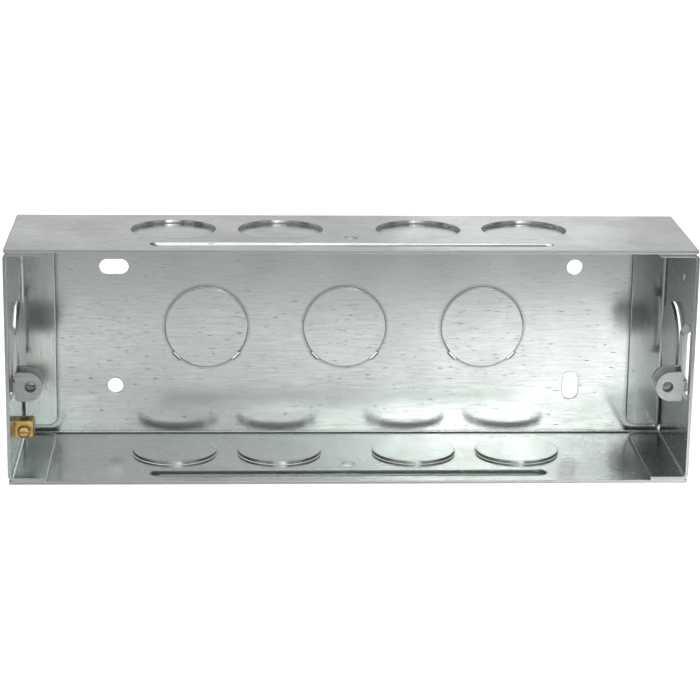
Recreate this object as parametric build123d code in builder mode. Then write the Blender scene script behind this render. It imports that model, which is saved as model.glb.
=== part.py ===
"""Flush modular metal box of folded galvanised sheet, with sliding plate lugs and a brass earth terminal.

X runs along the box, Y from the open front to the back wall, and Z up from the bottom wall. The origin is
under the middle of the box.
"""
import os

from build123d import *

# Channel body: top, back and bottom walls from one sheet
box_width = 206.0
box_height = 72.7
box_depth = 50.0
sheet = 1.0
fold_radius = 1.6

# Round knockouts, pressed into the box and held by two ties
knockout_diameter = 26.0
knockout_kerf = 0.05
knockout_lift = 0.1
cap_knockout_lift = 0.6
tie_width = 3.0
tie_reach = 0.5
tie_land = 1.2
tie_spread = 45.0
back_knockout_pitch = 44.0
long_wall_inner_knockout = 21.1
long_wall_outer_knockout = 53.8
long_wall_knockout_setback = 3.5

# Stiffening bead and centre hole near the front edge of the top and bottom walls
bead_inset = 42.5
bead_width = 4.6
bead_depth = 1.0
bead_front_gap = 7.7
centre_hole_diameter = 4.0
centre_hole_front_gap = 16.5

# Wall-fixing holes in the back
fixing_diameter = 5.0
fixing_slot_length = 9.2
fixing_end_inset = 29.95
fixing_wall_inset = 16.85

# End caps
cap_sheet = 1.0
cap_proud = 0.3
cap_bend_radius = 2.0
flange_width = 11.6
flange_corner_radius = 3.0
corner_relief = 3.0
cap_knockout_gap = 4.7

# Sliding lugs, U-shaped clips that straddle a strap lanced from each end cap
lug_sheet = 1.0
lug_clearance = 0.2
lug_bend_radius = 1.2
lug_height = 9.0
lug_corner_radius = 4.4
lug_shoulder_radius = 0.8
lug_tip_reach = 9.55
lug_shoulder_gap = 1.45
lug_hole_reach = 6.0
lug_hole_diameter = 3.4
lug_collar_diameter = 5.2
lug_collar_length = 1.6
web_height = 3.2
web_setback = 0.7
strap_width = 5.6
strap_flat = 17.0
strap_slope = 2.5
strap_front_gap = 5.2
strap_bend_radius = 1.0
window_clearance = 0.3

# Brass earth terminal on the left end cap, with its clamp screw
terminal_width = 5.8
terminal_depth = 6.0
terminal_height = 5.0
terminal_chamfer = 0.3
terminal_front_gap = 18.0
terminal_floor_gap = 12.85
rivet_diameter = 3.4
rivet_clearance = 0.05
wire_hole_diameter = 2.8
screw_drop = 0.6
screw_diameter = 2.5
screw_clearance = 0.05
screw_head_diameter = 3.7
screw_head_height = 1.4
screw_head_chamfer = 0.4
screw_slot_width = 0.6
screw_slot_depth = 0.6

# Positions that follow from the sizes above
front = -box_depth / 2
back = box_depth / 2
middle = box_height / 2
knockout_radius = knockout_diameter / 2
disc_radius = knockout_radius - knockout_kerf
bead_run = box_width - 2 * bead_inset - bead_width
bead_radius = (bead_width**2 / 4 + bead_depth**2) / (2 * bead_depth)
cap_outside = -(box_width / 2 + cap_proud)
cap_inside = cap_outside + cap_sheet
cap_back = back - sheet
strap_press = web_setback + lug_sheet + lug_clearance
strap_front = front + strap_front_gap
strap_back = strap_front + strap_width
clip_front = strap_front - lug_clearance - lug_sheet
clip_back = strap_back + lug_clearance + lug_sheet
window_front = clip_front - window_clearance
window_back = clip_back + window_clearance
window_height = strap_flat + 2 * strap_slope
cap_knockout_y = window_back + cap_knockout_gap + knockout_radius
lug_rest = middle - (strap_flat - web_height) / 2
terminal_y = front + terminal_front_gap


def press_knockout(seat, wall, lift, tie_side):
    """Cuts a round knockout from the wall under seat and hangs its disc inside the box on two ties.

    seat lies on the wall's outer face with its z axis into the box, lift is how far the disc stands clear of the
    wall's inner face, and tie_side is the angle, in that plane, of the direction that lies midway between the
    ties. Each tie is a strip of the wall that bends in to the disc.
    """
    press = wall + lift
    with BuildSketch(seat) as hole:
        Circle(knockout_radius)
    extrude(hole.sketch, amount=wall, mode=Mode.SUBTRACT)
    with BuildSketch(seat.offset(press)) as disc:
        Circle(disc_radius)
    extrude(disc.sketch, amount=wall)
    for angle in (tie_side - tie_spread, tie_side + tie_spread):
        outward = seat.x_dir.rotate(Axis((0, 0, 0), seat.z_dir), angle)
        radial = Plane(origin=seat.origin, x_dir=outward, z_dir=outward.cross(seat.z_dir))
        with BuildSketch(radial) as tie:
            with BuildLine():
                Polyline(
                    (knockout_radius + tie_reach + tie_land, 0),
                    (knockout_radius + tie_reach, 0),
                    (disc_radius - tie_reach, press),
                    (disc_radius - tie_reach - tie_land, press),
                )
                offset(amount=wall, side=Side.RIGHT)
            make_face()
        extrude(tie.sketch, amount=tie_width / 2, both=True)


def add_round_bar(radius):
    """Adds a bar with ball ends, which lies along a bead and dips below the wall's outer face by bead_depth."""
    with Locations((0, 0, bead_depth - bead_radius)):
        Cylinder(radius, bead_run, rotation=(0, 90, 0))
        with Locations((-bead_run / 2, 0), (bead_run / 2, 0)):
            Sphere(radius, rotation=(0, 90, 0))


# Bead of a long wall, drawn on a wall whose outer face is at Z 0: the ridge inside the box and the groove outside
with BuildPart() as bead_ridge:
    add_round_bar(bead_radius + sheet)
    split(bisect_by=Plane.XY.offset(sheet / 2), keep=Keep.TOP)

with BuildPart() as bead_groove:
    add_round_bar(bead_radius)

# Channel body
with BuildPart() as channel_body:
    with BuildSketch(Plane.YZ):
        with BuildLine():
            FilletPolyline(
                (front, box_height),
                (back, box_height),
                (back, 0),
                (front, 0),
                radius=fold_radius,
            )
            offset(amount=sheet, side=Side.RIGHT)
        make_face()
    extrude(amount=box_width / 2, both=True)

    for x in (-back_knockout_pitch, 0, back_knockout_pitch):
        press_knockout(Plane((x, back, middle), x_dir=(1, 0, 0), z_dir=(0, -1, 0)), sheet, knockout_lift, 270)

    for side in (-1, 1):
        for reach in (long_wall_inner_knockout, long_wall_outer_knockout):
            x = side * reach
            y = long_wall_knockout_setback
            top_seat = Plane((x, y, box_height), x_dir=(1, 0, 0), z_dir=(0, 0, -1))
            bottom_seat = Plane((x, y, 0), x_dir=(1, 0, 0), z_dir=(0, 0, 1))
            press_knockout(top_seat, sheet, knockout_lift, 270)
            press_knockout(bottom_seat, sheet, knockout_lift, 90)

    bead_y = front + bead_front_gap
    top_bead_seat = Plane((0, bead_y, box_height), x_dir=(1, 0, 0), z_dir=(0, 0, -1))
    bottom_bead_seat = Plane((0, bead_y, 0), x_dir=(1, 0, 0), z_dir=(0, 0, 1))
    with Locations(top_bead_seat, bottom_bead_seat):
        add(bead_ridge.part)
        add(bead_groove.part, mode=Mode.SUBTRACT)

    with BuildSketch(Plane.XY):
        with Locations((0, front + centre_hole_front_gap)):
            Circle(centre_hole_diameter / 2)
    extrude(amount=box_height, mode=Mode.SUBTRACT)

    fixing_x = box_width / 2 - fixing_end_inset
    with BuildSketch(Plane((0, back, 0), x_dir=(1, 0, 0), z_dir=(0, -1, 0))):
        with Locations((fixing_x, box_height - fixing_wall_inset), (-fixing_x, fixing_wall_inset)):
            Circle(fixing_diameter / 2)
        with Locations((-fixing_x, box_height - fixing_wall_inset)):
            SlotOverall(fixing_slot_length, fixing_diameter)
        with Locations((fixing_x, fixing_wall_inset)):
            SlotOverall(fixing_slot_length, fixing_diameter, rotation=90)
    extrude(amount=sheet, mode=Mode.SUBTRACT)

# Left end cap: the top and bottom flanges first, then the back flange, then the pressed features
with BuildPart() as left_end_cap:
    with BuildSketch(Plane.XZ.offset(-front)):
        with BuildLine():
            FilletPolyline(
                (cap_outside + flange_width, box_height - sheet),
                (cap_outside, box_height - sheet),
                (cap_outside, sheet),
                (cap_outside + flange_width, sheet),
                radius=cap_bend_radius,
            )
            offset(amount=cap_sheet, side=Side.LEFT)
        make_face()
    extrude(amount=-(cap_back - corner_relief - front))
    rear_corners = left_end_cap.edges().filter_by(Axis.Z).group_by(Axis.X)[-1].group_by(Axis.Y)[-1]
    fillet(rear_corners, flange_corner_radius)

    with BuildSketch(Plane.XY.offset(sheet + corner_relief)):
        with BuildLine():
            FilletPolyline(
                (cap_outside, front),
                (cap_outside, cap_back),
                (cap_outside + flange_width, cap_back),
                radius=cap_bend_radius,
            )
            offset(amount=cap_sheet, side=Side.RIGHT)
        make_face()
    extrude(amount=box_height - 2 * (sheet + corner_relief))
    tip_edges = left_end_cap.edges().filter_by(Axis.Y).group_by(Axis.X)[-1]
    fillet(tip_edges.group_by(SortBy.LENGTH)[0], flange_corner_radius)

    cap_seat = Plane((cap_outside, 0, middle), x_dir=(0, 1, 0), z_dir=(1, 0, 0))
    knockout_seat = Plane((cap_outside, cap_knockout_y, middle), x_dir=(0, 1, 0), z_dir=(1, 0, 0))
    press_knockout(knockout_seat, cap_sheet, cap_knockout_lift, 0)

    with BuildSketch(cap_seat):
        with Locations(((window_front + window_back) / 2, 0)):
            Rectangle(window_back - window_front, window_height)
        with Locations((terminal_y, terminal_floor_gap - middle)):
            Circle(rivet_diameter / 2)
    extrude(amount=cap_sheet, mode=Mode.SUBTRACT)

    with BuildSketch(Plane.XZ.offset(-strap_front)):
        with BuildLine():
            FilletPolyline(
                (cap_outside, middle + window_height / 2 + cap_sheet),
                (cap_outside, middle + window_height / 2),
                (cap_outside + strap_press, middle + strap_flat / 2),
                (cap_outside + strap_press, middle - strap_flat / 2),
                (cap_outside, middle - window_height / 2),
                (cap_outside, middle - window_height / 2 - cap_sheet),
                radius=strap_bend_radius,
            )
            offset(amount=cap_sheet, side=Side.LEFT)
        make_face()
    extrude(amount=-strap_width)

# Right end cap: the same pressing, turned half a turn about the front-to-back axis
with BuildPart() as right_end_cap:
    add(left_end_cap.part.rotate(Axis((0, 0, middle), (0, 1, 0)), 180))

# Left lug: a U-shaped strip, then the outline of its two leaves and its web
with BuildPart() as left_lug:
    with BuildSketch(Plane.XY.offset(lug_rest - lug_height / 2)):
        with BuildLine():
            FilletPolyline(
                (cap_inside + lug_tip_reach, clip_front),
                (cap_outside + web_setback, clip_front),
                (cap_outside + web_setback, clip_back),
                (cap_inside + lug_tip_reach, clip_back),
                radius=lug_bend_radius,
            )
            offset(amount=lug_sheet, side=Side.RIGHT)
        make_face()
    extrude(amount=lug_height)
    with BuildSketch(Plane.XZ.offset(-clip_front)):
        with Locations((cap_inside + lug_shoulder_gap, lug_rest)):
            Rectangle(lug_tip_reach - lug_shoulder_gap, lug_height, align=(Align.MIN, Align.CENTER))
        fillet(vertices().group_by(Axis.X)[-1], lug_corner_radius)
        fillet(vertices().group_by(Axis.X)[0], lug_shoulder_radius)
        with Locations((cap_outside, lug_rest)):
            Rectangle(lug_tip_reach, web_height, align=(Align.MIN, Align.CENTER))
    extrude(amount=-(clip_back - clip_front), mode=Mode.INTERSECT)
    with BuildSketch(Plane.XZ.offset(-clip_front)):
        with Locations((cap_inside + lug_hole_reach, lug_rest)):
            Circle(lug_collar_diameter / 2)
    extrude(amount=-(lug_sheet + lug_collar_length))
    with BuildSketch(Plane.XZ.offset(-clip_front)):
        with Locations((cap_inside + lug_hole_reach, lug_rest)):
            Circle(lug_hole_diameter / 2)
    extrude(amount=-(clip_back - clip_front), mode=Mode.SUBTRACT)

with BuildPart() as right_lug:
    add(left_lug.part.mirror(Plane.YZ))

# Earth terminal: a chamfered block with a wire hole, a screw hole and a rivet spigot through the end cap
with BuildPart() as earth_terminal:
    terminal_front = terminal_y - terminal_depth / 2
    terminal_x = cap_inside + terminal_width / 2
    with BuildSketch(Plane.XY.offset(terminal_floor_gap - terminal_height / 2)):
        with Locations((terminal_x, terminal_y)):
            Rectangle(terminal_width, terminal_depth)
    extrude(amount=terminal_height)
    chamfer(earth_terminal.faces().sort_by(Axis.X)[-1].edges(), terminal_chamfer)
    with BuildSketch(Plane.YZ.offset(cap_inside)):
        with Locations((terminal_y, terminal_floor_gap)):
            Circle(rivet_diameter / 2 - rivet_clearance)
    extrude(amount=-cap_sheet)
    with BuildSketch(Plane.XY.offset(terminal_floor_gap - terminal_height / 2)):
        with Locations((terminal_x, terminal_y)):
            Circle(wire_hole_diameter / 2)
    extrude(amount=terminal_height, mode=Mode.SUBTRACT)
    screw_seat = Plane.XZ.offset(-terminal_front)
    screw_z = terminal_floor_gap - screw_drop
    with BuildSketch(screw_seat):
        with Locations((terminal_x, screw_z)):
            Circle(screw_diameter / 2 + screw_clearance)
    extrude(amount=-terminal_depth / 2, mode=Mode.SUBTRACT)

# Earth screw: a chamfered slotted head and a plain shank that ends in the wire hole
with BuildPart() as earth_screw:
    with BuildSketch(screw_seat):
        with Locations((terminal_x, screw_z)):
            Circle(screw_head_diameter / 2)
    extrude(amount=screw_head_height)
    chamfer(earth_screw.faces().sort_by(Axis.Y)[0].edges(), screw_head_chamfer)
    with BuildSketch(screw_seat):
        with Locations((terminal_x, screw_z)):
            Circle(screw_diameter / 2)
    extrude(amount=-terminal_depth / 2)
    with BuildSketch(screw_seat.offset(screw_head_height - screw_slot_depth)):
        with Locations((terminal_x, screw_z)):
            Rectangle(screw_head_diameter, screw_slot_width)
    extrude(amount=screw_slot_depth, mode=Mode.SUBTRACT)

os.makedirs("parts", exist_ok=True)
pieces = {
    "channel_body": channel_body,
    "left_end_cap": left_end_cap,
    "right_end_cap": right_end_cap,
    "left_lug": left_lug,
    "right_lug": right_lug,
    "earth_terminal": earth_terminal,
    "earth_screw": earth_screw,
}
for name, piece in pieces.items():
    piece.part.label = name
    export_step(piece.part, "parts/" + name + ".step")
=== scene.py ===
"""Looks of the flush modular metal box: zinc-coated sheet, lug threads, brass, studio and camera."""

from math import cos, pi, radians, sin

import bpy
from mathutils import Matrix, Vector


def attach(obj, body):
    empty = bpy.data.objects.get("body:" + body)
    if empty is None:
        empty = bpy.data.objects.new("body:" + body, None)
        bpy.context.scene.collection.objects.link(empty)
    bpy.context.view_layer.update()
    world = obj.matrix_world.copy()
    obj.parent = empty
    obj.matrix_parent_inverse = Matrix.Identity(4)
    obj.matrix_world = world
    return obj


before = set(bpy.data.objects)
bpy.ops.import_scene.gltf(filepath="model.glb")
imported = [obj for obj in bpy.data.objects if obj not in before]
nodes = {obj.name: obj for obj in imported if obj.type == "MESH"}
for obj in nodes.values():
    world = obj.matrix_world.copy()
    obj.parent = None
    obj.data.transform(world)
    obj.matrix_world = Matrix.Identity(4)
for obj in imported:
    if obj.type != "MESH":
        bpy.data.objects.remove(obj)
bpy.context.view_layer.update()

# Where the walls and their edges lie, in metres
HALF_HEIGHT = 0.03635
LONG_WALLS_FROM_MIDDLE = 0.0325
BACK_WALL_FROM = 0.02
CAP_WALL_FROM = 0.098
LUG_WEB_FROM = 0.1005
BEYOND_THE_ENDS = 1.0
BEFORE_THE_FRONT = -1.0
BOTTOM_WALL_TO = 0.0035
LIP_FADE = (-0.0235, -0.0225)
TIES_FROM = 0.001
TIE_ROOT_FADE = (0.0235, 0.0239)

# Lugs' tapped holes and their threads, in metres
LUG_HOLE_REACH = 0.0963
LUG_HOLE_HEIGHT = 0.02945
LUG_HOLE_RADIUS = 0.00172
THREAD_FROM = -0.0209
THREAD_TO = -0.0185
THREAD_DEPTH = 0.00028
THREAD_PITCH = 0.0006
THREAD_STEPS = 40

# Zinc colours
BODY_PALE = (0.535, 0.565, 0.547, 1)
BODY_DARK = (0.445, 0.47, 0.455, 1)
LEFT_CAP_PALE = (0.51, 0.55, 0.53, 1)
LEFT_CAP_DARK = (0.44, 0.475, 0.457, 1)
# Painted shade: the right cap is a darker, shaded copy of the left cap's zinc
SHADED_RIGHT_CAP_PALE = (0.335, 0.362, 0.35, 1)
SHADED_RIGHT_CAP_DARK = (0.285, 0.31, 0.3, 1)
LUG_PALE = (0.38, 0.405, 0.392, 1)
LUG_DARK = (0.32, 0.342, 0.33, 1)
SPECK_GREY = (0.16, 0.165, 0.16, 1)
EDGE_HIGHLIGHT = (0.75, 0.78, 0.765, 1)
GLINT_HIGHLIGHT = (0.92, 0.94, 0.93, 1)
SEAM_SHADE_COLOUR = (0.09, 0.095, 0.09, 1)
# Cut-face colours: a painted highlight, a middle tone, and a painted shade
LIT_CUT = (0.78, 0.81, 0.79, 1)
MIDDLE_CUT = (0.5, 0.52, 0.51, 1)
SHADED_CUT = (0.25, 0.258, 0.25, 1)

# Zinc surface: features per metre across and along the rolling, sizes in metres, and shares
LINE_COUNT = (1500, 100)
FINE_LINE_COUNT = (3400, 300)
SPECK_COUNT = (2300, 340)
CLOUD_COUNT = (45, 45, 45)
WAVE_COUNT = (22, 22, 22)
COARSE_LINE_SHARE = 0.65
FINE_LINE_SHARE = 0.35
EDGE_RADIUS = 0.0004
EDGE_SHARE = 0.4
SEAM_REACH = 0.0015
CUT_SHARE = 0.6
TIE_SHARE = 0.85
WAVE_DEPTH = 0.00012
LINE_DEPTH = 0.00001
BOTTOM_LEAN = -0.045
BRUSHED = 0.5
BODY_ROUGH = 0.17
CAP_ROUGH = 0.18
LUG_ROUGH = 0.45
MASK_SAMPLES = 6

# Brass colours and surface
BLOCK_BRASS = (0.74, 0.5, 0.19, 1)
BLOCK_TARNISH = (0.36, 0.21, 0.07, 1)
BLOCK_ROUGH = 0.36
SCREW_BRASS = (0.82, 0.58, 0.25, 1)
SCREW_TARNISH = (0.48, 0.3, 0.11, 1)
SCREW_ROUGH = 0.3
BRASS_EDGE_HIGHLIGHT = (0.86, 0.66, 0.32, 1)
SHADED_BRASS = (0.16, 0.115, 0.035, 1)
BRASS_SEAM_SHADE_COLOUR = (0.12, 0.075, 0.02, 1)
MILLING_COUNT = (500, 900, 6500)
PATCH_COUNT = (420, 420, 420)
BRASS_EDGE_RADIUS = 0.0002
BRASS_EDGE_SHARE = 0.7
BRASS_SEAM_REACH = 0.0006
MILLING_DEPTH = 0.00003

# Studio
FLOOR_REACH = 4.0
FLOOR_DROP = 0.0002
FLOOR_PAPER = (0.85, 0.85, 0.85, 1)
FLOOR_IN_MIRROR = 0.74
ROOM_COLOUR = (0.97, 0.99, 1.0, 1)
ROOM_LEVEL = 0.1
LIGHTS_AIM = (0.0, 0.0, 0.03)

# Camera
SENSOR_WIDTH = 36.0
FOCAL_PIXELS = 2404.3
PICTURE_PIXELS = 700.0
CAMERA_PLACE = (-0.03622, -0.71636, 0.23298)
CAMERA_YAW = radians(-2.941)
CAMERA_PITCH = radians(15.412)
CAMERA_ROLL = radians(-0.785)

# Node helpers


def new_material(name):
    """Returns a material, its node tree and its Principled shader."""
    material = bpy.data.materials.new(name)
    material.use_nodes = True
    tree = material.node_tree
    tree.nodes.clear()
    output = tree.nodes.new("ShaderNodeOutputMaterial")
    shader = tree.nodes.new("ShaderNodeBsdfPrincipled")
    tree.links.new(shader.outputs["BSDF"], output.inputs["Surface"])
    return material, tree, shader


def set_socket(tree, socket, value):
    """Links a socket to another one, or gives it a plain value."""
    if isinstance(value, bpy.types.NodeSocket):
        tree.links.new(value, socket)
    else:
        socket.default_value = value


def add_node(tree, kind, inputs=None, **settings):
    """Adds a node, sets its options, and sets or links its inputs."""
    node = tree.nodes.new(kind)
    for option, value in settings.items():
        setattr(node, option, value)
    for socket, value in (inputs or {}).items():
        set_socket(tree, node.inputs[socket], value)
    return node


def noise(tree, places, per_metre, detail=3.0, roughness=0.55):
    """Returns noise from 0 to 1 with its own count of features per metre along X, Y and Z."""
    stretched = add_node(tree, "ShaderNodeVectorMath", {0: places, 1: per_metre}, operation="MULTIPLY")
    texture = add_node(
        tree,
        "ShaderNodeTexNoise",
        {"Vector": stretched.outputs["Vector"], "Scale": 1.0, "Detail": detail, "Roughness": roughness},
    )
    return texture.outputs["Fac"]


def span(tree, value, low, high, new_low, new_high):
    """Returns the value carried from one range to another, with no overshoot."""
    inputs = {"Value": value, "From Min": low, "From Max": high, "To Min": new_low, "To Max": new_high}
    return add_node(tree, "ShaderNodeMapRange", inputs).outputs["Result"]


def combine(tree, operation, first, second=0.0):
    """Returns the result of one operation on one or two values."""
    return add_node(tree, "ShaderNodeMath", {0: first, 1: second}, operation=operation).outputs["Value"]


def times(tree, first, second):
    return combine(tree, "MULTIPLY", first, second)


def plus(tree, first, second):
    return combine(tree, "ADD", first, second)


def minus(tree, first, second):
    return combine(tree, "SUBTRACT", first, second)


def tint(tree, share, first, second):
    """Returns a colour between two colours."""
    mixer = add_node(tree, "ShaderNodeMix", {"Factor": share}, data_type="RGBA")
    set_socket(tree, mixer.inputs[6], first)
    set_socket(tree, mixer.inputs[7], second)
    return mixer.outputs[2]


def blend(tree, share, first, second):
    """Returns a vector between two vectors."""
    mixer = add_node(tree, "ShaderNodeMix", {"Factor": share}, data_type="VECTOR")
    set_socket(tree, mixer.inputs[4], first)
    set_socket(tree, mixer.inputs[5], second)
    return mixer.outputs[1]


def bump(tree, height, depth, strength, normal):
    """Returns a normal that follows a height."""
    inputs = {"Strength": strength, "Distance": depth, "Height": height, "Normal": normal}
    return add_node(tree, "ShaderNodeBump", inputs).outputs["Normal"]


def edge_share(tree, radius, strength):
    """Returns the Bevel node's normal and a mask of the edges that it rounds."""
    bevel = add_node(tree, "ShaderNodeBevel", {"Radius": radius}, samples=MASK_SAMPLES).outputs["Normal"]
    plain = add_node(tree, "ShaderNodeNewGeometry").outputs["Normal"]
    facing = add_node(tree, "ShaderNodeVectorMath", {0: bevel, 1: plain}, operation="DOT_PRODUCT")
    return bevel, span(tree, facing.outputs["Value"], 0.998, 0.92, 0.0, strength)


def openness(tree, reach):
    """Returns how open a place is, from 0 deep in a seam to 1 on an open wall."""
    seam = add_node(tree, "ShaderNodeAmbientOcclusion", {"Distance": reach}, samples=MASK_SAMPLES)
    return seam.outputs["AO"]


def dress(material, *names):
    """Gives the whole surface of each named CAD node one material."""
    for name in names:
        slots = nodes[name].data.materials
        slots.clear()
        slots.append(material)


# Zinc-coated sheet: rolled lines, dark specks, cloudy zinc, sheared edges, painted shade in the seams


def wall_shares(tree, places, end_wall_from, leaf):
    """Returns masks of sheared edges, ties, highlit rims, the back wall, the front lips and the bottom.

    A sheared edge faces along none of the walls that it bounds, and the knockouts' ties face half
    along one. The highlit rims, which get a painted highlight, are the rear ones of the bottom discs.
    Walls at the ends start at end_wall_from along X. A leaf faces along Y wherever it lies.
    """
    place = add_node(tree, "ShaderNodeSeparateXYZ", {"Vector": places}).outputs
    normal = add_node(tree, "ShaderNodeNewGeometry").outputs["True Normal"]
    facing = add_node(tree, "ShaderNodeSeparateXYZ", {"Vector": normal}).outputs

    side = combine(tree, "GREATER_THAN", combine(tree, "ABSOLUTE", place["X"]), end_wall_from)
    from_middle = combine(tree, "ABSOLUTE", minus(tree, place["Z"], HALF_HEIGHT))
    long_wall = combine(tree, "GREATER_THAN", from_middle, LONG_WALLS_FROM_MIDDLE)
    back_wall_from = BEFORE_THE_FRONT if leaf else BACK_WALL_FROM
    back_wall = combine(tree, "GREATER_THAN", place["Y"], back_wall_from)
    bottom = combine(tree, "LESS_THAN", place["Z"], BOTTOM_WALL_TO)
    lip = span(tree, place["Y"], *LIP_FADE, 1.0, 0.0)

    flat = times(tree, side, combine(tree, "ABSOLUTE", facing["X"]))
    for wall, axis in ((back_wall, "Y"), (long_wall, "Z")):
        squarely = times(tree, wall, combine(tree, "ABSOLUTE", facing[axis]))
        flat = combine(tree, "MAXIMUM", flat, squarely)
    sheared = span(tree, flat, 0.35, 0.55, 1.0, 0.0)

    # A slope that is neither flat nor sheared is a tie, where it is clear of the folds and of its root
    slope = minus(tree, span(tree, flat, 0.94, 0.86, 0.0, 1.0), sheared)
    fold = combine(tree, "MAXIMUM", times(tree, back_wall, long_wall), side)
    clear = minus(tree, combine(tree, "GREATER_THAN", place["Y"], TIES_FROM), fold)
    clear_slope = combine(tree, "MAXIMUM", times(tree, slope, clear), 0.0)
    root = span(tree, place["Y"], *TIE_ROOT_FADE, 0.0, 0.9)
    tie = combine(tree, "MAXIMUM", minus(tree, clear_slope, root), 0.0)

    # The bottom discs' rear rims, which get a painted highlight
    backward = times(tree, sheared, combine(tree, "GREATER_THAN", facing["Y"], 0.15))
    highlit_rims = times(tree, backward, bottom)
    return sheared, tie, highlit_rims, back_wall, lip, bottom


def zinc_sheet(
    name,
    grain,
    colour,
    dark,
    rough,
    tangent_axis,
    end_wall_from,
    leaf=False,
    metallic=0.9,
    rim=LIT_CUT,
):
    """Returns a zinc-coated sheet, where grain tells how the rolled lines are stretched."""
    material, tree, shader = new_material(name)
    places = add_node(tree, "ShaderNodeTexCoord").outputs["Object"]
    lines = noise(tree, places, grain(*LINE_COUNT), 4.0, 0.6)
    fine_lines = noise(tree, places, grain(*FINE_LINE_COUNT), 2.0)
    specks = noise(tree, places, grain(*SPECK_COUNT), 3.0, 0.5)
    clouds = noise(tree, places, CLOUD_COUNT, 4.0)
    waves = noise(tree, places, WAVE_COUNT, 1.5)
    bevel, edge = edge_share(tree, EDGE_RADIUS, EDGE_SHARE)
    sheared, tie, highlit_rims, back_wall, lip, bottom = wall_shares(tree, places, end_wall_from, leaf)
    tie_level = times(tree, tie, TIE_SHARE)

    # Colour, from the rolled zinc to its marks, painted highlights and painted shade
    coarse = times(tree, lines, COARSE_LINE_SHARE)
    fine = times(tree, fine_lines, FINE_LINE_SHARE)
    streak = plus(tree, coarse, fine)
    body = tint(tree, span(tree, streak, 0.36, 0.6, 0.0, 1.0), dark, colour)
    cloudy = tint(tree, span(tree, clouds, 0.35, 0.65, 0.0, 0.4), body, dark)
    speck = span(tree, specks, 0.63, 0.71, 0.0, 0.6)
    marked = tint(tree, speck, cloudy, SPECK_GREY)
    # Painted shade on the front lips' cut faces; the other cut faces take the part's rim colour
    cut_colour = tint(tree, lip, rim, SHADED_CUT)
    cut = tint(tree, times(tree, sheared, CUT_SHARE), marked, cut_colour)
    # Painted highlight: the edges that the Bevel node rounds are lightened
    edge_lit = tint(tree, edge, cut, EDGE_HIGHLIGHT)
    # Painted shade: seams and crevices darken by ambient occlusion, most on the back wall
    seam_shade = span(tree, openness(tree, SEAM_REACH), 0.45, 0.95, 0.95, 0.0)
    seam_shade_level = times(tree, seam_shade, span(tree, back_wall, 0.0, 1.0, 0.3, 1.0))
    seam_shaded = tint(tree, seam_shade_level, edge_lit, SEAM_SHADE_COLOUR)
    # Painted highlight: ties and the bottom discs' rear rims lighten toward bright metal
    glint_share = combine(tree, "MAXIMUM", tie_level, highlit_rims)
    tree.links.new(tint(tree, glint_share, seam_shaded, GLINT_HIGHLIGHT), shader.inputs["Base Color"])

    # Roughness: what the marks add to the sheet's own
    rough_streak = span(tree, streak, 0.3, 0.7, 0.04, -0.03)
    rough_cloud = plus(tree, rough_streak, span(tree, clouds, 0.3, 0.7, -0.03, 0.05))
    rough_speck = plus(tree, rough_cloud, times(tree, speck, 0.2))
    rough_cut = plus(tree, rough_speck, times(tree, sheared, 0.12))
    rough_rims = plus(tree, rough_cut, times(tree, highlit_rims, 0.45))
    tree.links.new(plus(tree, rough_rims, rough), shader.inputs["Roughness"])

    # Normal: waves and lines, ties that face as their wall does, and a bottom wall that leans forward
    wavy = bump(tree, waves, WAVE_DEPTH, 1.0, bevel)
    rolled = bump(tree, streak, LINE_DEPTH, 0.3, wavy)
    wall_facing = blend(tree, back_wall, (0, 0, 1), (0, -1, 0))
    eased = blend(tree, tie_level, rolled, wall_facing)
    forward = times(tree, bottom, BOTTOM_LEAN)
    lean = add_node(tree, "ShaderNodeCombineXYZ", {"Y": forward}).outputs["Vector"]
    leaning = add_node(tree, "ShaderNodeVectorMath", {0: eased, 1: lean}, operation="ADD").outputs["Vector"]
    facing = add_node(tree, "ShaderNodeVectorMath", {0: leaning}, operation="NORMALIZE")
    tree.links.new(facing.outputs["Vector"], shader.inputs["Normal"])
    tangent = add_node(tree, "ShaderNodeTangent", direction_type="RADIAL", axis=tangent_axis)
    tree.links.new(tangent.outputs["Tangent"], shader.inputs["Tangent"])
    shader.inputs["Metallic"].default_value = metallic
    shader.inputs["Anisotropic"].default_value = BRUSHED
    return material


def lengthwise(fine, coarse):
    return (coarse, fine, fine)


def upright(fine, coarse):
    return (fine, fine, coarse)


body_zinc = zinc_sheet("body_zinc", lengthwise, BODY_PALE, BODY_DARK, BODY_ROUGH, "X", BEYOND_THE_ENDS)
left_cap_zinc = zinc_sheet(
    "left_cap_zinc", upright, LEFT_CAP_PALE, LEFT_CAP_DARK, CAP_ROUGH, "Z", CAP_WALL_FROM, rim=MIDDLE_CUT
)
# Painted shade: the right cap takes the darker, shaded zinc
shaded_right_cap_zinc = zinc_sheet(
    "shaded_right_cap_zinc", upright, SHADED_RIGHT_CAP_PALE, SHADED_RIGHT_CAP_DARK, CAP_ROUGH, "Z", CAP_WALL_FROM, rim=MIDDLE_CUT
)
lug_zinc = zinc_sheet(
    "lug_zinc",
    lengthwise,
    LUG_PALE,
    LUG_DARK,
    LUG_ROUGH,
    "X",
    LUG_WEB_FROM,
    leaf=True,
    metallic=0.5,
    # Painted shade on the lugs' cut faces
    rim=SHADED_CUT,
)
dress(body_zinc, "channel_body")
dress(left_cap_zinc, "left_end_cap")
dress(shaded_right_cap_zinc, "right_end_cap")
dress(lug_zinc, "left_lug", "right_lug")

# Brass, with milling lines, dull patches, painted highlights on the edges, and painted shade on the sides
# and in the seams


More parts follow.
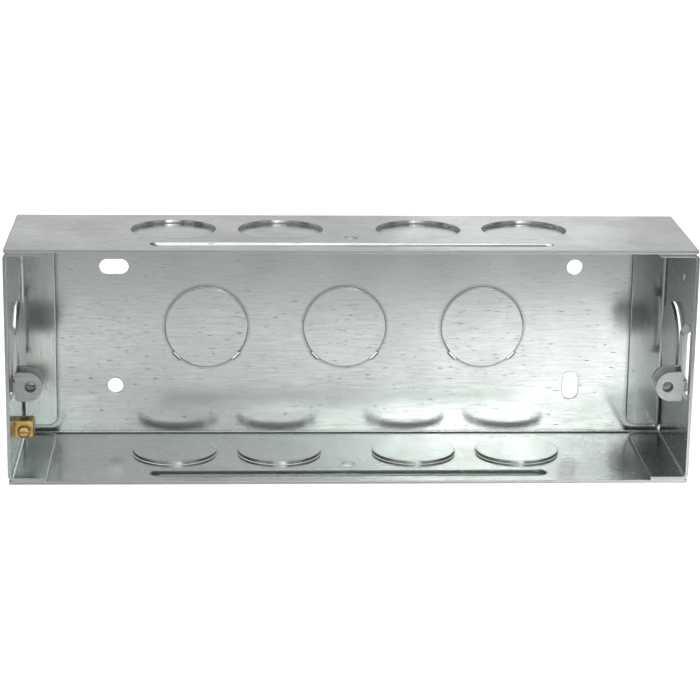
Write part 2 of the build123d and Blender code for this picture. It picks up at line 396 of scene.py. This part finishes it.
def brass(name, colour, tarnish, rough):
    """Returns a brass that is brightest on the faces toward the front, with painted shade on the others."""
    material, tree, shader = new_material(name)
    places = add_node(tree, "ShaderNodeTexCoord").outputs["Object"]
    milling = noise(tree, places, MILLING_COUNT, 3.0)
    patches = noise(tree, places, PATCH_COUNT, 4.0, 0.6)
    bevel, edge = edge_share(tree, BRASS_EDGE_RADIUS, BRASS_EDGE_SHARE)
    dull = tint(tree, span(tree, patches, 0.42, 0.66, 0.0, 0.8), colour, tarnish)
    lined = tint(tree, span(tree, milling, 0.4, 0.75, 0.0, 0.4), dull, tarnish)
    # Painted highlight: the edges that the Bevel node rounds are lightened
    edge_lit = tint(tree, edge, lined, BRASS_EDGE_HIGHLIGHT)
    # Painted shade: every face but those toward the front darkens
    normal = add_node(tree, "ShaderNodeNewGeometry").outputs["True Normal"]
    backward = add_node(tree, "ShaderNodeSeparateXYZ", {"Vector": normal}).outputs["Y"]
    shaded_sides = tint(tree, span(tree, backward, -0.8, -0.3, 0.0, 0.75), edge_lit, SHADED_BRASS)
    # Painted shade: the brass darkens in its seams by ambient occlusion
    seam_shade = span(tree, openness(tree, BRASS_SEAM_REACH), 0.35, 0.9, 0.6, 0.0)
    tree.links.new(tint(tree, seam_shade, shaded_sides, BRASS_SEAM_SHADE_COLOUR), shader.inputs["Base Color"])
    tree.links.new(span(tree, patches, 0.3, 0.7, rough - 0.08, rough + 0.14), shader.inputs["Roughness"])
    tree.links.new(bump(tree, milling, MILLING_DEPTH, 0.35, bevel), shader.inputs["Normal"])
    shader.inputs["Metallic"].default_value = 1.0
    return material


dress(brass("terminal_brass", BLOCK_BRASS, BLOCK_TARNISH, BLOCK_ROUGH), "earth_terminal")
dress(brass("screw_brass", SCREW_BRASS, SCREW_TARNISH, SCREW_ROUGH), "earth_screw")

# Threads in the lugs' tapped holes


def build_thread(name, middle_x):
    """Winds a ridge with a triangular section round the inside of a lug's hole, which runs along Y."""
    turns = (THREAD_TO - THREAD_FROM - THREAD_PITCH) / THREAD_PITCH
    crest = LUG_HOLE_RADIUS - THREAD_DEPTH
    section = ((0, LUG_HOLE_RADIUS), (THREAD_PITCH / 2, crest), (THREAD_PITCH, LUG_HOLE_RADIUS))
    points = []
    faces = []
    for step in range(round(turns * THREAD_STEPS) + 1):
        angle = 2 * pi * step / THREAD_STEPS
        start = THREAD_FROM + THREAD_PITCH * step / THREAD_STEPS
        for offset, radius in section:
            x = middle_x + radius * cos(angle)
            z = LUG_HOLE_HEIGHT + radius * sin(angle)
            points.append((x, start + offset, z))
        if step:
            here = 3 * step
            for flank in (0, 1):
                faces.append((here + flank - 3, here + flank - 2, here + flank + 1, here + flank))
    mesh = bpy.data.meshes.new(name)
    mesh.from_pydata(points, [], faces)
    mesh.materials.append(lug_zinc)
    piece = bpy.data.objects.new(name, mesh)
    bpy.context.scene.collection.objects.link(piece)
    return piece


for side, body in ((-1, "left_lug"), (1, "right_lug")):
    thread = build_thread(body + "_thread", side * LUG_HOLE_REACH)
    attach(thread, body)

# Floor, white to the camera, and dark in the box's mirror beyond a strip before the box

floor_corners = [
    (-FLOOR_REACH, -FLOOR_REACH, 0),
    (FLOOR_REACH, -FLOOR_REACH, 0),
    (FLOOR_REACH, FLOOR_REACH, 0),
    (-FLOOR_REACH, FLOOR_REACH, 0),
]
floor_mesh = bpy.data.meshes.new("floor")
floor_mesh.from_pydata(floor_corners, [], [(0, 1, 2, 3)])
floor = bpy.data.objects.new("floor", floor_mesh)
floor.location.z = -FLOOR_DROP
bpy.context.scene.collection.objects.link(floor)

floor_material = bpy.data.materials.new("floor_white")
floor_material.use_nodes = True
tree = floor_material.node_tree
tree.nodes.clear()
ray = add_node(tree, "ShaderNodeLightPath").outputs
spot = add_node(tree, "ShaderNodeNewGeometry").outputs["Position"]
toward_back = add_node(tree, "ShaderNodeSeparateXYZ", {"Vector": spot}).outputs["Y"]
mirrored = combine(tree, "MAXIMUM", ray["Is Glossy Ray"], ray["Is Transmission Ray"])
plain_glow = times(tree, ray["Is Camera Ray"], span(tree, toward_back, 0.1, 0.5, 0.8, 1.0))
# Painted light: glossy rays see the floor glow only in a strip before the box
mirrored_glow = times(tree, mirrored, span(tree, toward_back, -0.2, -0.12, 0.0, FLOOR_IN_MIRROR))
glow_level = combine(tree, "MAXIMUM", plain_glow, mirrored_glow)
glow = add_node(tree, "ShaderNodeEmission", {"Color": (1, 1, 1, 1), "Strength": glow_level})
paper = add_node(tree, "ShaderNodeBsdfDiffuse", {"Color": FLOOR_PAPER})
both = add_node(tree, "ShaderNodeAddShader", {0: paper.outputs["BSDF"], 1: glow.outputs["Emission"]})
add_node(tree, "ShaderNodeOutputMaterial", {"Surface": both.outputs["Shader"]})
floor_mesh.materials.append(floor_material)

# Dim room

world = bpy.data.worlds.new("room")
bpy.context.scene.world = world
world.use_nodes = True
tree = world.node_tree
tree.nodes.clear()
sky = add_node(tree, "ShaderNodeBackground", {"Color": ROOM_COLOUR, "Strength": ROOM_LEVEL})
add_node(tree, "ShaderNodeOutputWorld", {"Surface": sky.outputs["Background"]})

# Lights: soft boxes that the sheet mirrors, and a pool of light on the floor before the right end


def place_light(name, data, place, target):
    """Puts a light in the scene, turned to its target and unseen by the camera."""
    light = bpy.data.objects.new(name, data)
    light.location = place
    light.rotation_euler = (Vector(target) - Vector(place)).to_track_quat("-Z", "Y").to_euler()
    light.visible_camera = False
    bpy.context.scene.collection.objects.link(light)


def add_softbox(name, place, width, height, radiance):
    """Adds a soft rectangular light that faces the box, with a set brightness of its face."""
    data = bpy.data.lights.new(name, "AREA")
    data.shape = "RECTANGLE"
    data.size = width
    data.size_y = height
    data.energy = radiance * pi * width * height
    place_light(name, data, place, LIGHTS_AIM)


add_softbox("front_far_left", (-0.2, -0.85, 0.17), 0.2, 0.18, 3.0)
add_softbox("front_left", (-0.065, -0.85, 0.17), 0.07, 0.18, 1.6)
add_softbox("front_middle", (0.025, -0.85, 0.17), 0.11, 0.18, 3.6)
add_softbox("front_upper", (-0.06, -0.85, 0.38), 0.28, 0.14, 0.6)
add_softbox("front_key", (0.155, -0.85, 0.27), 0.17, 0.26, 7.0)
add_softbox("front_high", (0.0, -0.85, 0.56), 0.4, 0.24, 2.2)
add_softbox("overhead", (-0.16, 0.25, 0.85), 0.4, 1.1, 1.8)
add_softbox("overhead_right", (0.3, 0.1, 0.85), 0.5, 0.9, 0.4)
add_softbox("backdrop", (0.075, 0.9, 0.3), 0.75, 0.28, 0.75)
add_softbox("backdrop_right", (0.155, 0.88, 0.3), 0.16, 0.28, 0.35)
for name, side in (("left", -1), ("right", 1)):
    add_softbox("corner_" + name, (side * 0.75, -0.75, 0.35), 0.5, 0.5, 0.7)
    add_softbox("side_" + name, (side * 0.9, 0.25, 0.35), 0.6, 0.5, 0.6)
    add_softbox("wing_" + name, (side * 0.66, 0.76, 0.33), 0.42, 0.4, 0.5)

pool_data = bpy.data.lights.new("floor_pool", "SPOT")
pool_data.energy = 52.0
pool_data.spot_size = radians(15.0)
pool_data.spot_blend = 0.5
pool_data.shadow_soft_size = 0.05
place_light("floor_pool", pool_data, (0.65, -0.06, 0.45), (0.155, -0.055, 0.0))

# Camera at the photograph's place and angle

camera_data = bpy.data.cameras.new("camera")
camera_data.sensor_fit = "HORIZONTAL"
camera_data.sensor_width = SENSOR_WIDTH
camera_data.lens = SENSOR_WIDTH * FOCAL_PIXELS / PICTURE_PIXELS
camera_data.clip_start = 0.01
camera = bpy.data.objects.new("camera", camera_data)
turn = Matrix.Rotation(CAMERA_YAW, 4, "Z") @ Matrix.Rotation(-CAMERA_PITCH, 4, "X")
aim = turn @ Matrix.Rotation(CAMERA_ROLL, 4, "Y")
camera.matrix_world = Matrix.Translation(CAMERA_PLACE) @ aim @ Matrix.Rotation(radians(90), 4, "X")
bpy.context.scene.collection.objects.link(camera)
bpy.context.scene.camera = camera
bpy.context.scene.view_settings.view_transform = "Standard"
